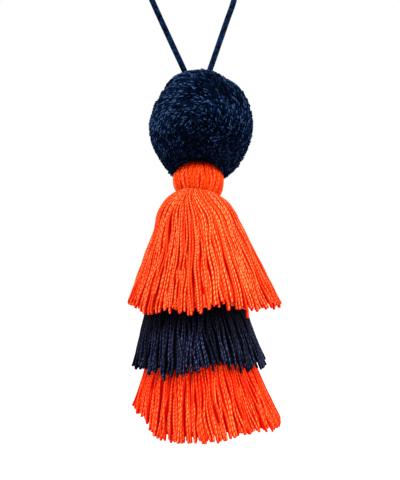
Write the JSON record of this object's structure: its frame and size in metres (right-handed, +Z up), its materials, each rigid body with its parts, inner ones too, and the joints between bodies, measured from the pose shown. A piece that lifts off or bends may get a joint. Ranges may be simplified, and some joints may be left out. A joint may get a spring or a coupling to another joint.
{
  "type": "pompom tassel charm",
  "caption": "Hanging charm: a cut-pile yarn pompom over a flared tassel of nested skirts in alternating colours, on a satin cord loop.",
  "frame": {"origin": "hanging point, at the inner side of the cord at the top of its loop", "axes": "+Z up, from the tassel's hem towards the loop; +X to the right of the picture; -Y towards its camera"},
  "size_m": [0.0722, 0.0715, 0.2451],
  "materials": {
    "satin_cord": "navy satin cord, soft gloss",
    "navy_pile": "navy cut yarn pile, matt",
    "orange_yarn": "orange twisted yarn, matt",
    "navy_yarn": "dark navy twisted yarn, matt",
    "red_orange_yarn": "red-orange twisted yarn, matt"
  },
  "bodies": {
    "root": {"hanging_loop": "satin_cord", "pompom": "navy_pile", "top_tassel": "orange_yarn", "middle_tassel": "navy_yarn", "bottom_tassel": "red_orange_yarn"}
  },
  "joints": []
}
